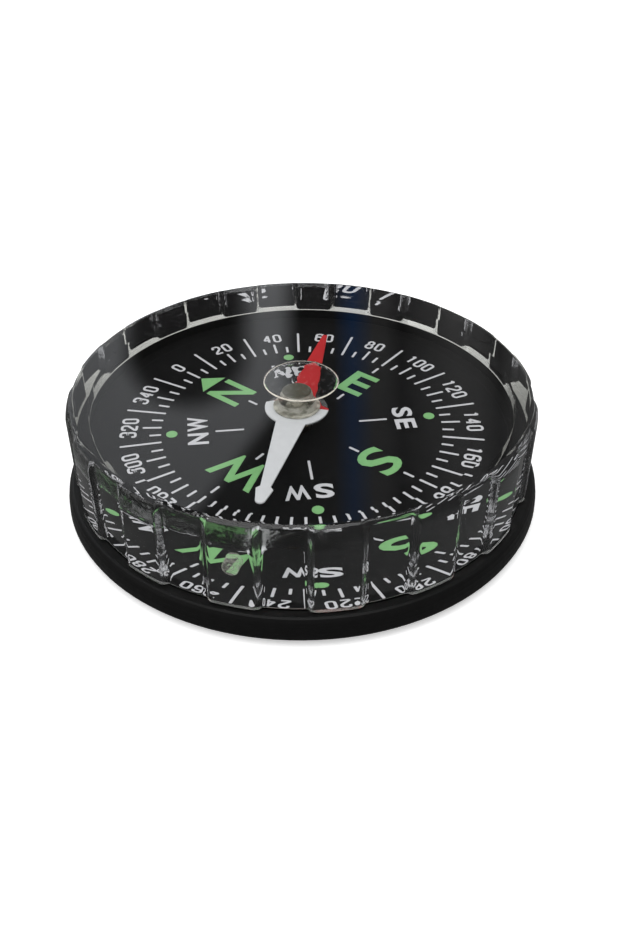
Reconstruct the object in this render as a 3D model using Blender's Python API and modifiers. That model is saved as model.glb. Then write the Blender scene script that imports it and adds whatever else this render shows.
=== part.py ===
"""Liquid-filled pocket compass: a clear castellated capsule on a black dish, with a needle on a pin.

The compass stands on its underside at z = 0, centred on the Z axis. Sizes are in metres.
Its height follows from the stack on the pin's axis: boss, pin, bearing cup, hub, headroom and window.
"""
import bmesh
import bpy
from math import asin, cos, pi, radians, sin
from mathutils import Vector

MM = 0.001

# Clearances between pieces that seat on each other, and at the needle's bearing
SEAT_GAP = 0.15 * MM
RADIAL_GAP = 0.15 * MM
BEARING_GAP = 0.15 * MM

# Base dish
FLANGE_RADIUS = 22.5 * MM
FLANGE_WIDEST_HEIGHT = 1.0 * MM
FLANGE_SHOULDER = 0.65 * MM
FOOT_INSET = 2.7 * MM
FLOOR_THICKNESS = 0.5 * MM
LEDGE_HEIGHT = 2.75 * MM

# Clear capsule
TOOTH_SETBACK = 1.0 * MM
TOOTH_COUNT = 16
TOOTH_DEPTH = 0.45 * MM
TOOTH_WIDTH = 3.9 * MM
TOOTH_FLANK = 0.5 * MM
FIRST_TOOTH_ANGLE = radians(74.8)
SPIGOT_SHOULDER = 0.1 * MM
WALL_THICKNESS = 1.45 * MM
WINDOW_THICKNESS = 1.5 * MM
TOOTH_EDGE_INSET = 0.9 * MM
TOOTH_EDGE_DROP = 1.35 * MM
VALLEY_EDGE_INSET = 0.45 * MM
VALLEY_EDGE_DROP = 0.55 * MM
VALLEY_EDGE_RISE = 0.1 * MM
CEILING_FILLET = 0.6 * MM

# Filler plug in the wall of one tooth
PLUG_TOOTH = 8
PLUG_HEIGHT = 7.0 * MM
PLUG_RADIUS = 0.7 * MM
PLUG_RECESS_RADIUS = 0.3 * MM
PLUG_RECESS_DEPTH = 0.4 * MM
PLUG_SETBACK = 0.05 * MM

# Dial plate
DIAL_THICKNESS = 0.15 * MM

# Pivot boss and pin, which stand a little to the left of the case's centre
PIVOT_OFFSET = -0.45 * MM
BOSS_RADIUS = 1.3 * MM
BOSS_HEIGHT = 1.55 * MM
BOSS_EDGE = 0.25 * MM
PIN_RADIUS = 0.2 * MM
PIN_LENGTH = 4.45 * MM
PIN_SEAT_DEPTH = 1.0 * MM
PIN_POINT_LENGTH = 0.5 * MM

# Bearing cup that rides on the pin's point
CUP_RADIUS = 0.42 * MM
CUP_THICKNESS = 0.4 * MM
CUP_RECESS_RADIUS = 0.3 * MM
CUP_RECESS_DEPTH = 0.25 * MM

# Needle
NEEDLE_BEARING = radians(12.5)
BLADE_BELOW_CUP = 0.8 * MM
BLADE_THICKNESS = 0.25 * MM
RING_RADIUS = 3.0 * MM
NORTH_CLEARANCE = 5.75 * MM
NORTH_ROOT_WIDTH = 2.8 * MM
NORTH_TIP_WIDTH = 0.45 * MM
SOUTH_CLEARANCE = 5.1 * MM
SOUTH_ROOT_WIDTH = 2.75 * MM
SOUTH_NECK_WIDTH = 0.9 * MM
SPADE_WIDTH = 1.5 * MM
SPADE_LENGTH = 2.2 * MM
SPADE_SHOULDER = 0.35 * MM
SPADE_TIP_RADIUS = 0.45 * MM
SPADE_TIP_START = radians(22)

# Clear hub on the needle, and the ring that holds the needle on it
HUB_HEIGHT = 4.45 * MM
HUB_HEADROOM = 0.45 * MM
HUB_TOP_RADIUS = 1.4 * MM
HUB_ROOT_RADIUS = 1.9 * MM
HUB_EDGE = 0.3 * MM
HUB_COLLAR_RADIUS = 2.2 * MM
HUB_COLLAR_THICKNESS = 0.25 * MM
HUB_NECK_RADIUS = 1.5 * MM
HUB_NECK_OVERHANG = 0.15 * MM
HUB_NECK_WALL = 0.55 * MM
RETAINER_WIDTH = 1.25 * MM
RETAINER_THICKNESS = 0.3 * MM

# Fineness of the round shapes
LARGE_STEPS = 128
SMALL_STEPS = 36
FINE_STEPS = 18
ARC_STEPS = 5
SHARP_ANGLE = radians(24)
MERGE_DISTANCE = 3e-6

# Places that follow from the sizes above, from the axis outwards and from the ground up
tooth_radius = FLANGE_RADIUS - TOOTH_SETBACK
valley_radius = tooth_radius - TOOTH_DEPTH
spigot_radius = valley_radius - SPIGOT_SHOULDER
cavity_radius = spigot_radius - WALL_THICKNESS
dish_bore_radius = spigot_radius + RADIAL_GAP
north_length = cavity_radius - NORTH_CLEARANCE
south_length = cavity_radius - SOUTH_CLEARANCE
floor_seat = FLOOR_THICKNESS + SEAT_GAP
ledge_seat = LEDGE_HEIGHT + SEAT_GAP
boss_top = floor_seat + BOSS_HEIGHT
pin_bore_floor = boss_top - PIN_SEAT_DEPTH
pin_bottom = pin_bore_floor + SEAT_GAP
pin_tip = pin_bottom + PIN_LENGTH
cup_bottom = pin_tip + BEARING_GAP - CUP_RECESS_DEPTH
cup_top = cup_bottom + CUP_THICKNESS
blade_bottom = cup_bottom - BLADE_BELOW_CUP
blade_top = blade_bottom + BLADE_THICKNESS
retainer_top = blade_bottom - SEAT_GAP
retainer_bottom = retainer_top - RETAINER_THICKNESS
hub_top = blade_bottom + HUB_HEIGHT
ceiling = hub_top + HUB_HEADROOM
window_top = ceiling + WINDOW_THICKNESS


def clear_scene():
    for old in list(bpy.data.objects):
        bpy.data.objects.remove(old, do_unlink=True)


def new_collection(name):
    collection = bpy.data.collections.new(name)
    bpy.context.scene.collection.children.link(collection)
    return collection


def make_material(name, color, roughness, metallic=0.0, transmission=0.0):
    material = bpy.data.materials.new(name)
    material.use_nodes = True
    shader = material.node_tree.nodes["Principled BSDF"]
    shader.inputs["Base Color"].default_value = (*color, 1.0)
    shader.inputs["Roughness"].default_value = roughness
    shader.inputs["Metallic"].default_value = metallic
    shader.inputs["Transmission Weight"].default_value = transmission
    return material


def add_object(name, data, collection, material=None):
    obj = bpy.data.objects.new(name, data)
    collection.objects.link(obj)
    if material:
        data.materials.append(material)
    return obj


def freeze(obj):
    """Replace an object by the mesh that its curve or modifiers give, with its place kept."""
    bpy.context.view_layer.update()
    evaluated = obj.evaluated_get(bpy.context.evaluated_depsgraph_get())
    mesh = bpy.data.meshes.new_from_object(evaluated)
    name = obj.name
    collection = obj.users_collection[0]
    place = obj.matrix_world.copy()
    material = obj.data.materials[0] if obj.data.materials else None
    bpy.data.objects.remove(obj, do_unlink=True)
    mesh.materials.clear()
    frozen = add_object(name, mesh, collection, material)
    frozen.matrix_world = place
    return frozen


def weld(obj):
    """Join the points of an object that share a place."""
    mesh = bmesh.new()
    mesh.from_mesh(obj.data)
    bmesh.ops.remove_doubles(mesh, verts=mesh.verts, dist=MERGE_DISTANCE)
    mesh.to_mesh(obj.data)
    mesh.free()


def shade_round(obj):
    obj.data.shade_smooth()
    obj.data.set_sharp_from_angle(angle=SHARP_ANGLE)


def turned(name, profile, collection, material, steps, closed=False):
    """Turn a profile of (radius, height) points about Z. It runs down its outer side."""
    mesh = bpy.data.meshes.new(name)
    points = [(radius, 0.0, height) for radius, height in profile]
    edges = [(i, i + 1) for i in range(len(points) - 1)]
    if closed:
        edges.append((len(points) - 1, 0))
    mesh.from_pydata(points, edges, [])
    obj = add_object(name, mesh, collection, material)
    screw = obj.modifiers.new("turn", "SCREW")
    screw.axis = "Z"
    screw.steps = steps
    screw.render_steps = steps
    screw.use_merge_vertices = True
    screw.merge_threshold = MERGE_DISTANCE
    obj = freeze(obj)
    shade_round(obj)
    return obj


def extruded(name, outlines, collection, material, low, high):
    """Flat outlines of (x, y) points, an outer one and its holes, as a solid between two heights."""
    curve = bpy.data.curves.new(name, "CURVE")
    curve.dimensions = "2D"
    curve.fill_mode = "BOTH"
    curve.extrude = (high - low) / 2
    for outline in outlines:
        spline = curve.splines.new("POLY")
        spline.points.add(len(outline) - 1)
        for point, (x, y) in zip(spline.points, outline):
            point.co = (x, y, 0.0, 1.0)
        spline.use_cyclic_u = True
    obj = add_object(name, curve, collection, material)
    obj.location.z = (low + high) / 2
    obj = freeze(obj)
    weld(obj)
    return obj


def cut(obj, cutter):
    """Take the cutter's solid out of an object."""
    cutter.hide_render = True
    cutter.display_type = "WIRE"
    difference = obj.modifiers.new(cutter.name, "BOOLEAN")
    difference.operation = "DIFFERENCE"
    difference.solver = "EXACT"
    difference.object = cutter


def elliptic_arc(center, radial, vertical, start, end, steps=ARC_STEPS):
    """Points of an elliptic arc from one angle to the other, both counted from the outward direction."""
    angles = [start + (end - start) * i / steps for i in range(steps + 1)]
    return [(center[0] + radial * cos(a), center[1] + vertical * sin(a)) for a in angles]


def circle_points(radius, steps, center_x=0.0):
    angles = [2 * pi * i / steps for i in range(steps)]
    return [(center_x + radius * cos(a), radius * sin(a)) for a in angles]


def make_base_dish(collection, material):
    """Black dish: a thin floor, and a rounded flange whose ledge carries the capsule's teeth."""
    shoulder = elliptic_arc((FLANGE_RADIUS - FLANGE_SHOULDER, FLANGE_WIDEST_HEIGHT), FLANGE_SHOULDER,
                            LEDGE_HEIGHT - FLANGE_WIDEST_HEIGHT, pi / 2, 0.0)
    foot = elliptic_arc((FLANGE_RADIUS - FOOT_INSET, FLANGE_WIDEST_HEIGHT), FOOT_INSET,
                        FLANGE_WIDEST_HEIGHT, 0.0, -pi / 2)
    profile = [(0.0, FLOOR_THICKNESS), (dish_bore_radius, FLOOR_THICKNESS), (dish_bore_radius, LEDGE_HEIGHT)]
    profile += shoulder + foot[1:]
    profile.append((0.0, 0.0))
    return turned("base_dish", profile, collection, material, LARGE_STEPS)


def make_dial_plate(collection, material):
    """Thin disc on the dish's floor, inside the capsule's spigot and round the pivot's boss."""
    outer = circle_points(cavity_radius - RADIAL_GAP, LARGE_STEPS)
    inner = circle_points(BOSS_RADIUS + RADIAL_GAP, SMALL_STEPS, PIVOT_OFFSET)
    plate = extruded("dial_plate", [outer, inner], collection, material, floor_seat,
                     floor_seat + DIAL_THICKNESS)
    shade_round(plate)
    return plate


def valley_outline():
    """Outline that passes just outside the teeth and, between them, well inside the capsule's side."""
    outline = []
    half = TOOTH_WIDTH / 2 / tooth_radius
    flank = TOOTH_FLANK / tooth_radius
    pitch = 2 * pi / TOOTH_COUNT
    clear_radius = tooth_radius + TOOTH_DEPTH / 2
    corner_radius = tooth_radius - TOOTH_DEPTH / 5
    inner_radius = valley_radius - 2 * VALLEY_EDGE_INSET
    right_side = [(half - flank, clear_radius), (half + flank / 4, corner_radius),
                  (half + flank, valley_radius), (half + flank, inner_radius)]
    left_side = [(-offset, radius) for offset, radius in reversed(right_side)]
    for tooth in range(TOOTH_COUNT):
        center = FIRST_TOOTH_ANGLE + pitch * tooth
        outline += [(radius * cos(center + offset), radius * sin(center + offset))
                    for offset, radius in left_side + [(0.0, clear_radius)] + right_side]
    return outline


def make_valley_cutter(cutters):
    """All that stands outside the valleys: a ring between the teeth, less the wall at the valleys' foot."""
    surround = circle_points(FLANGE_RADIUS + TOOTH_SETBACK, SMALL_STEPS)
    valleys = extruded("valley_cutter", [surround, valley_outline()], cutters, None,
                       ledge_seat - SPIGOT_SHOULDER, window_top + WINDOW_THICKNESS)
    core_top = window_top + VALLEY_EDGE_RISE
    edge = elliptic_arc((valley_radius - VALLEY_EDGE_INSET, core_top - VALLEY_EDGE_DROP),
                        VALLEY_EDGE_INSET, VALLEY_EDGE_DROP, pi / 2, 0.0)
    core_profile = [(0.0, core_top)] + edge + [(valley_radius, floor_seat), (0.0, floor_seat)]
    core = turned("valley_core", core_profile, cutters, None, LARGE_STEPS)
    cut(valleys, core)
    valleys = freeze(valleys)
    weld(valleys)
    return valleys


def lay_along_plug(obj):
    """Lay a piece that was made upright on Z along the plug's axis, its foot at the cavity's wall."""
    angle = FIRST_TOOTH_ANGLE + 2 * pi * PLUG_TOOTH / TOOTH_COUNT
    outward = Vector((cos(angle), sin(angle), 0.0))
    obj.rotation_mode = "QUATERNION"
    obj.rotation_quaternion = outward.to_track_quat("Z", "Y")
    obj.location = outward * cavity_radius + Vector((0.0, 0.0, PLUG_HEIGHT))


def make_capsule(collection, cutters, material):
    """Clear cup, open downwards: a rounded window, a wall cut into teeth, and a spigot in the dish."""
    edge = elliptic_arc((tooth_radius - TOOTH_EDGE_INSET, window_top - TOOTH_EDGE_DROP),
                        TOOTH_EDGE_INSET, TOOTH_EDGE_DROP, pi / 2, 0.0)
    fillet = elliptic_arc((cavity_radius - CEILING_FILLET, ceiling - CEILING_FILLET),
                          CEILING_FILLET, CEILING_FILLET, 0.0, pi / 2)
    profile = [(0.0, window_top)] + edge
    profile += [(tooth_radius, ledge_seat), (spigot_radius, ledge_seat), (spigot_radius, floor_seat)]
    profile += [(cavity_radius, floor_seat)] + fillet + [(0.0, ceiling)]
    capsule = turned("clear_capsule", profile, collection, material, LARGE_STEPS)
    cut(capsule, make_valley_cutter(cutters))

    wall = tooth_radius - cavity_radius
    hole_radius = PLUG_RADIUS + RADIAL_GAP
    hole_profile = [(0.0, 2 * wall), (hole_radius, 2 * wall), (hole_radius, -wall), (0.0, -wall)]
    hole = turned("filling_hole_cutter", hole_profile, cutters, None, SMALL_STEPS)
    lay_along_plug(hole)
    cut(capsule, hole)
    capsule = freeze(capsule)
    weld(capsule)
    shade_round(capsule)
    return capsule


def make_filler_plug(collection, material):
    """Round plug that closes the filling hole, with a small recess in its outer end."""
    length = tooth_radius - PLUG_SETBACK - cavity_radius
    recess_floor = length - PLUG_RECESS_DEPTH
    profile = [(0.0, recess_floor), (PLUG_RECESS_RADIUS, recess_floor), (PLUG_RECESS_RADIUS, length),
               (PLUG_RADIUS, length), (PLUG_RADIUS, 0.0), (0.0, 0.0)]
    plug = turned("filler_plug", profile, collection, material, SMALL_STEPS)
    lay_along_plug(plug)
    return plug


def make_pivot_boss(collection, material):
    """Low boss on the dish's floor, with a blind bore for the pin."""
    bore = PIN_RADIUS + RADIAL_GAP
    profile = [(0.0, pin_bore_floor), (bore, pin_bore_floor), (bore, boss_top),
               (BOSS_RADIUS - BOSS_EDGE, boss_top), (BOSS_RADIUS, boss_top - BOSS_EDGE),
               (BOSS_RADIUS, floor_seat), (0.0, floor_seat)]
    return turned("pivot_boss", profile, collection, material, SMALL_STEPS)


def make_pivot_pin(collection, material):
    """Upright pin with a pointed top."""
    profile = [(0.0, pin_tip), (PIN_RADIUS, pin_tip - PIN_POINT_LENGTH), (PIN_RADIUS, pin_bottom),
               (0.0, pin_bottom)]
    return turned("pivot_pin", profile, collection, material, FINE_STEPS)


def blade_side():
    """Right-hand edge of the needle from its north tip to its south tip, north along +Y."""
    north_start = asin(NORTH_ROOT_WIDTH / 2 / RING_RADIUS)
    south_start = pi - asin(SOUTH_ROOT_WIDTH / 2 / RING_RADIUS)
    neck = south_length - SPADE_LENGTH
    shoulder = neck + SPADE_SHOULDER
    points = [(NORTH_TIP_WIDTH / 2, north_length)]
    for i in range(FINE_STEPS + 1):
        angle = north_start + (south_start - north_start) * i / FINE_STEPS
        points.append((RING_RADIUS * sin(angle), RING_RADIUS * cos(angle)))
    points.append((SOUTH_NECK_WIDTH / 2, -neck))
    points.append((SPADE_WIDTH / 2, -shoulder))
    points += [(across, -along) for across, along in
               elliptic_arc((0.0, south_length - SPADE_TIP_RADIUS), SPADE_TIP_RADIUS, SPADE_TIP_RADIUS,
                            SPADE_TIP_START, pi / 2)]
    return points


def make_needle_blade(collection, material):
    """Flat steel needle: tapered north arm, ring round the hub, tapered south arm with a spade end."""
    side = blade_side()
    outline = side + [(-x, y) for x, y in reversed(side[:-1])]
    hole = circle_points(HUB_NECK_RADIUS + RADIAL_GAP, SMALL_STEPS)
    return extruded("needle_blade", [outline, hole], collection, material, blade_bottom, blade_top)


def make_needle_hub(collection, material):
    """Clear cap: a collar on the blade, a neck through it, and a bore that stands over the pin."""
    collar_bottom = blade_top + SEAT_GAP
    collar_top = collar_bottom + HUB_COLLAR_THICKNESS
    neck_bottom = retainer_bottom - HUB_NECK_OVERHANG
    neck_bore = HUB_NECK_RADIUS - HUB_NECK_WALL
    cup_bore = CUP_RADIUS + RADIAL_GAP
    cup_seat = cup_top + SEAT_GAP
    crown = elliptic_arc((HUB_TOP_RADIUS - HUB_EDGE, hub_top - HUB_EDGE), HUB_EDGE, HUB_EDGE, pi / 2, 0.0)
    profile = [(0.0, hub_top)] + crown
    profile += [(HUB_ROOT_RADIUS, collar_top), (HUB_COLLAR_RADIUS, collar_top)]
    profile += [(HUB_COLLAR_RADIUS, collar_bottom), (HUB_NECK_RADIUS, collar_bottom)]
    profile += [(HUB_NECK_RADIUS, neck_bottom), (neck_bore, neck_bottom), (neck_bore, cup_bottom)]
    profile += [(cup_bore, cup_bottom), (cup_bore, cup_seat), (0.0, cup_seat)]
    return turned("needle_hub", profile, collection, material, SMALL_STEPS)


def make_hub_retainer(collection, material):
    """Flat ring on the hub's neck that holds the blade up against the collar."""
    inner = HUB_NECK_RADIUS + RADIAL_GAP
    outer = inner + RETAINER_WIDTH
    profile = [(inner, retainer_top), (outer, retainer_top), (outer, retainer_bottom),
               (inner, retainer_bottom)]
    return turned("hub_retainer", profile, collection, material, SMALL_STEPS, closed=True)


def make_bearing_cup(collection, material):
    """Bearing cup in the hub's bore, hollowed to a cone over the pin's point."""
    profile = [(0.0, cup_top), (CUP_RADIUS, cup_top), (CUP_RADIUS, cup_bottom),
               (CUP_RECESS_RADIUS, cup_bottom), (0.0, cup_bottom + CUP_RECESS_DEPTH)]
    return turned("bearing_cup", profile, collection, material, FINE_STEPS)


def hang_on_axis(name, pieces, bearing, collection):
    """Parent pieces that were made on Z to an empty on the pin's axis, turned to a bearing."""
    axis = add_object(name, None, collection)
    axis.location.x = PIVOT_OFFSET
    axis.rotation_euler.z = -bearing
    for piece in pieces:
        piece.parent = axis


def build():
    clear_scene()
    compass = new_collection("pocket_compass")
    cutters = new_collection("cutters")
    black = make_material("black_plastic", (0.012, 0.012, 0.012), 0.3)
    dial_black = make_material("dial_black", (0.01, 0.01, 0.012), 0.35)
    clear = make_material("clear_acrylic", (0.9, 0.93, 0.92), 0.02, transmission=1.0)
    plug_clear = make_material("plug_acrylic", (0.8, 0.84, 0.8), 0.2, transmission=1.0)
    hub_clear = make_material("hub_acrylic", (0.85, 0.88, 0.82), 0.05, transmission=1.0)
    brass = make_material("boss_brass", (0.6, 0.45, 0.2), 0.3, metallic=1.0)
    steel = make_material("pin_steel", (0.6, 0.6, 0.62), 0.2, metallic=1.0)
    paint = make_material("needle_paint", (0.72, 0.73, 0.74), 0.45)
    white = make_material("retainer_white", (0.7, 0.7, 0.7), 0.5)
    jewel = make_material("jewel_glass", (0.75, 0.7, 0.6), 0.1)

    make_base_dish(compass, black)
    make_dial_plate(compass, dial_black)
    make_capsule(compass, cutters, clear)
    make_filler_plug(compass, plug_clear)
    standing = [make_pivot_boss(compass, brass), make_pivot_pin(compass, steel)]
    hang_on_axis("pivot_axis", standing, 0.0, compass)
    turning = [make_needle_blade(compass, paint), make_needle_hub(compass, hub_clear),
               make_hub_retainer(compass, white), make_bearing_cup(compass, jewel)]
    hang_on_axis("needle_axis", turning, NEEDLE_BEARING, compass)


build()
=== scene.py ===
import math

import bmesh
import bpy
from mathutils import Matrix, Vector


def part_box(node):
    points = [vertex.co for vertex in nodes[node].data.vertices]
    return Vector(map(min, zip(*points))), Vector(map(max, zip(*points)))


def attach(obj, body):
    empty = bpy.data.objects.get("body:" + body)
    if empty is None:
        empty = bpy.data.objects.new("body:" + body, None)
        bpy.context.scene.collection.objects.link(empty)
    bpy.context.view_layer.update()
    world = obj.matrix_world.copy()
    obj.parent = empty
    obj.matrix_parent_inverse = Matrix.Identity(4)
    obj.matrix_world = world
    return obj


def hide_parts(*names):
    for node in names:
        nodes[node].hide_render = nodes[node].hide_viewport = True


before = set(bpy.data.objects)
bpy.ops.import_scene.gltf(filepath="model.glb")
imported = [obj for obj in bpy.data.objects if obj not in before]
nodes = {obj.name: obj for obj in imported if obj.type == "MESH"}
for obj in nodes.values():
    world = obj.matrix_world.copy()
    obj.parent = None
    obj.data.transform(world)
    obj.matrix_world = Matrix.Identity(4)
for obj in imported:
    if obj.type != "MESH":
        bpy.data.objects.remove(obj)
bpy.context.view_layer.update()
mm = 0.001
mergeWithin = 0.002 * mm
print("frame loaded:", len(nodes), "nodes")


class Wire:                                         # a socket that can be used in sums
    def __init__(self, graph, socket):
        self.graph = graph
        self.socket = socket

    def sum(self, operation, *values):
        return self.graph.node("ShaderNodeMath", {"operation": operation}, dict(enumerate(values)))

    def __add__(self, other):
        return self.sum("ADD", self, other)

    def __radd__(self, other):
        return self.sum("ADD", other, self)

    def __sub__(self, other):
        return self.sum("SUBTRACT", self, other)

    def __rsub__(self, other):
        return self.sum("SUBTRACT", other, self)

    def __mul__(self, other):
        return self.sum("MULTIPLY", self, other)

    def __rmul__(self, other):
        return self.sum("MULTIPLY", other, self)

    def __truediv__(self, other):
        return self.sum("DIVIDE", self, other)

    def __rtruediv__(self, other):
        return self.sum("DIVIDE", other, self)

    def __gt__(self, other):
        return self.sum("GREATER_THAN", self, other)

    def __lt__(self, other):
        return self.sum("LESS_THAN", self, other)

    def atLeast(self, other):
        return self.sum("MAXIMUM", self, other)

    def smooth(self, low, high):                    # 0 below low, 1 above high, eased between
        return self.graph.node("ShaderNodeMapRange", {"interpolation_type": "SMOOTHSTEP"},
                               {"Value": self, "From Min": low, "From Max": high})


class Graph:                                        # a node tree that is filled by expressions
    def __init__(self, tree, keep=False):
        self.tree = tree
        if not keep:
            self.tree.nodes.clear()

    def node(self, kind, settings=None, sockets=None, output=0):
        made = self.tree.nodes.new(kind)
        for name, value in (settings or {}).items():
            if name == "stops":
                stops = made.color_ramp.elements
                for index, (place, color) in enumerate(value):
                    stop = stops[index] if index < 2 else stops.new(place)
                    stop.position = place
                    stop.color = (*color, 1.0)
            else:
                setattr(made, name, value)
        for name, value in (sockets or {}).items():
            socket = made.inputs[name]
            if isinstance(value, Wire):
                self.tree.links.new(value.socket, socket)
            elif socket.type == "RGBA":
                socket.default_value = (*value, 1.0)    # colours are written without their alpha
            else:
                socket.default_value = value
        return Wire(self, made.outputs[output])

    def place(self):                                # the point on the piece, in metres
        return self.node("ShaderNodeTexCoord", output="Object")

    def axis(self, vector, index):
        return self.node("ShaderNodeSeparateXYZ", None, {0: vector}, index)

    def ray(self, kind):
        return self.node("ShaderNodeLightPath", output=kind)

    def noise(self, scale, detail=2.0):
        return self.node("ShaderNodeTexNoise", None,
                         {"Vector": self.place(), "Scale": scale, "Detail": detail})

    def blend(self, factor, first, second):         # two colours by a factor
        return self.node("ShaderNodeMix", {"data_type": "RGBA"}, {0: factor, 6: first, 7: second}, 2)

    def mix(self, factor, first, second):           # two shaders by a factor
        return self.node("ShaderNodeMixShader", None, {0: factor, 1: first, 2: second})

    def bump(self, height, distance):
        return self.node("ShaderNodeBump", None, {"Height": height, "Distance": distance})

    def output(self, shader, kind="ShaderNodeOutputMaterial"):
        old = [node for node in self.tree.nodes if node.bl_idname == kind]
        out = old[0] if old else self.tree.nodes.new(kind)
        self.tree.links.new(shader.socket, out.inputs["Surface"])


def newMaterial(name):
    material = bpy.data.materials.new(name)
    material.use_nodes = True
    return material, Graph(material.node_tree)


def openMaterial(material):                         # the graph of a made material, and its shader
    graph = Graph(material.node_tree, keep=True)
    surface = material.node_tree.nodes["Material Output"].inputs["Surface"]
    return graph, Wire(graph, surface.links[0].from_socket)


def drawn(graph, value):                            # a value as it stands, or what a function draws
    return value(graph) if callable(value) else value


def grained(first, second, *grain):                 # two colours in a fine grain
    return lambda g: g.blend(g.noise(*grain), first, second)


def solidMaterial(name, look, color, rough, relief=None, depth=0.0):
    least, spread, grain = rough
    material, graph = newMaterial(name)
    sockets = {"Base Color": color(graph), "Roughness": least + spread * graph.noise(grain), **look}
    if relief:
        sockets["Normal"] = graph.bump(graph.noise(*relief), depth)
    graph.output(graph.node("ShaderNodeBsdfPrincipled", None, sockets))
    return material


def clearMaterial(name, ior, tint=(1.0, 1.0, 1.0), rough=0.0, shade=None, relief=None, depth=0.0,
                  mirrored=1.0):
    material, graph = newMaterial(name)
    sockets = {"Base Color": shade(graph) if shade else tint, "Roughness": drawn(graph, rough), "IOR": ior,
               "Transmission Weight": 1.0, "Specular Tint": (mirrored, mirrored, mirrored)}
    if relief:
        sockets["Normal"] = graph.bump(relief(graph), depth)
    clear = graph.node("ShaderNodeBsdfPrincipled", None, sockets)
    through = graph.node("ShaderNodeBsdfTransparent", None, {"Color": tint})
    straight = graph.ray("Is Shadow Ray").atLeast(graph.ray("Is Diffuse Ray"))    # lamps and soft light pass
    graph.output(graph.mix(straight, clear, through))
    return material


milky = {"grain": 3000.0, "leastRough": 0.3, "moreRough": 0.2, "cloudFrom": 0.2, "cloudTo": 0.5}


def addMilk(material, share, color):                # a milky share in a clear material
    graph, clear = openMaterial(material)
    grain = graph.noise(milky["grain"])
    rough = milky["leastRough"] + milky["moreRough"] * grain
    milk = graph.node("ShaderNodeBsdfPrincipled", None, {"Base Color": color, "Roughness": rough})
    cloud = grain.smooth(milky["cloudFrom"], milky["cloudTo"])
    graph.output(graph.mix(drawn(graph, share) * cloud, clear, milk))


def deselectAll():
    for item in bpy.context.selected_objects:
        item.select_set(False)


def activate(piece):                                # the only piece selected, and the active one
    deselectAll()
    piece.select_set(True)
    bpy.context.view_layer.objects.active = piece


def newPrimitive(add, name, **settings):            # a primitive by itself, selected and active
    deselectAll()
    add(**settings)
    piece = bpy.context.active_object
    piece.name = name
    piece.data.name = name
    bpy.ops.object.transform_apply(location=True, rotation=True, scale=True)
    return piece


def editMode(piece):
    activate(piece)
    bpy.ops.object.mode_set(mode="EDIT")


def objectMode():
    bpy.ops.object.mode_set(mode="OBJECT")


def pick(piece, kind, test):                        # select vertices, edges or faces by their place
    modes = {"verts": "VERT", "edges": "EDGE", "faces": "FACE"}
    bpy.ops.mesh.select_mode(type=modes[kind])
    bpy.ops.mesh.select_all(action="DESELECT")
    mesh = bmesh.from_edit_mesh(piece.data)
    for item in getattr(mesh, kind):
        if test(item):
            item.select_set(True)
    mesh.select_flush_mode()
    bmesh.update_edit_mesh(piece.data)


def isUpright(edge, height):                        # an edge that rises by more than half the height
    return abs(edge.verts[0].co.z - edge.verts[1].co.z) > height / 2


def mergeDoubles(piece):
    editMode(piece)
    bpy.ops.mesh.select_all(action="SELECT")
    bpy.ops.mesh.remove_doubles(threshold=mergeWithin)
    objectMode()


def radiusOf(place):
    return math.hypot(place.x, place.y)


def extrudeTo(height=0.0, factor=1.0):              # extrude what is selected, then move and scale it
    bpy.ops.mesh.extrude_region_move(TRANSFORM_OT_translate={"value": (0.0, 0.0, height)})
    if factor != 1.0:
        bpy.ops.transform.resize(value=(factor, factor, 1.0), center_override=(0.0, 0.0, 0.0))


def smoothByAngle(piece, degrees):
    activate(piece)
    bpy.ops.object.shade_smooth_by_angle(angle=math.radians(degrees))


def addModifier(piece, kind, name, **settings):
    modifier = piece.modifiers.new(name, kind)
    for key, value in settings.items():
        setattr(modifier, key, value)
    activate(piece)
    bpy.ops.object.modifier_apply(modifier=name)


def addPath(curve, path, closed=True):              # a straight-sided path in a curve
    spline = curve.splines.new("POLY")
    spline.points.add(len(path) - 1)
    spline.use_cyclic_u = closed
    for point, place in zip(spline.points, path):
        point.co = (*place, 1.0)
    return spline


def meshOf(name, curve):                            # the mesh that a curve gives
    piece = bpy.data.objects.new(name, curve)
    bpy.context.scene.collection.objects.link(piece)
    activate(piece)
    bpy.ops.object.convert(target="MESH")
    return piece


def roundStrokes(name, paths, depth, resolution):   # a mesh of round strokes along (closed, path, radii)
    curve = bpy.data.curves.new(name, "CURVE")
    curve.dimensions = "3D"
    curve.bevel_depth = depth
    curve.bevel_resolution = resolution
    curve.use_fill_caps = True
    for closed, path, radii in paths:
        spline = addPath(curve, path, closed)
        for point, radius in zip(spline.points, radii):
            point.radius = radius
    return meshOf(name, curve)


def placePiece(piece, matrix):
    piece.data.transform(matrix)
    piece.data.update()


def joinPieces(pieces, name):
    deselectAll()
    for piece in pieces:
        piece.select_set(True)
    bpy.context.view_layer.objects.active = pieces[0]
    bpy.ops.object.join()
    joined = bpy.context.active_object
    joined.name = name
    joined.data.name = name
    return joined


def finishPiece(piece, body, materials, replaced=None):
    for material in materials:
        piece.data.materials.append(material)
    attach(piece, body)
    if replaced:
        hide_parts(replaced)


def dressNode(name, material):
    mesh = nodes[name].data
    if not mesh.materials:
        mesh.materials.append(material)
    for index in range(len(mesh.materials)):
        mesh.materials[index] = material


# camera, where the photograph was taken from

camera = {"distance": 92.776 * mm, "elevation": 36.978, "roll": -0.4656, "lens": 36.143, "sensor": 36.0,
          "shiftX": 0.00886, "shiftY": 0.01419, "nearest": 1.0 * mm}


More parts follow.
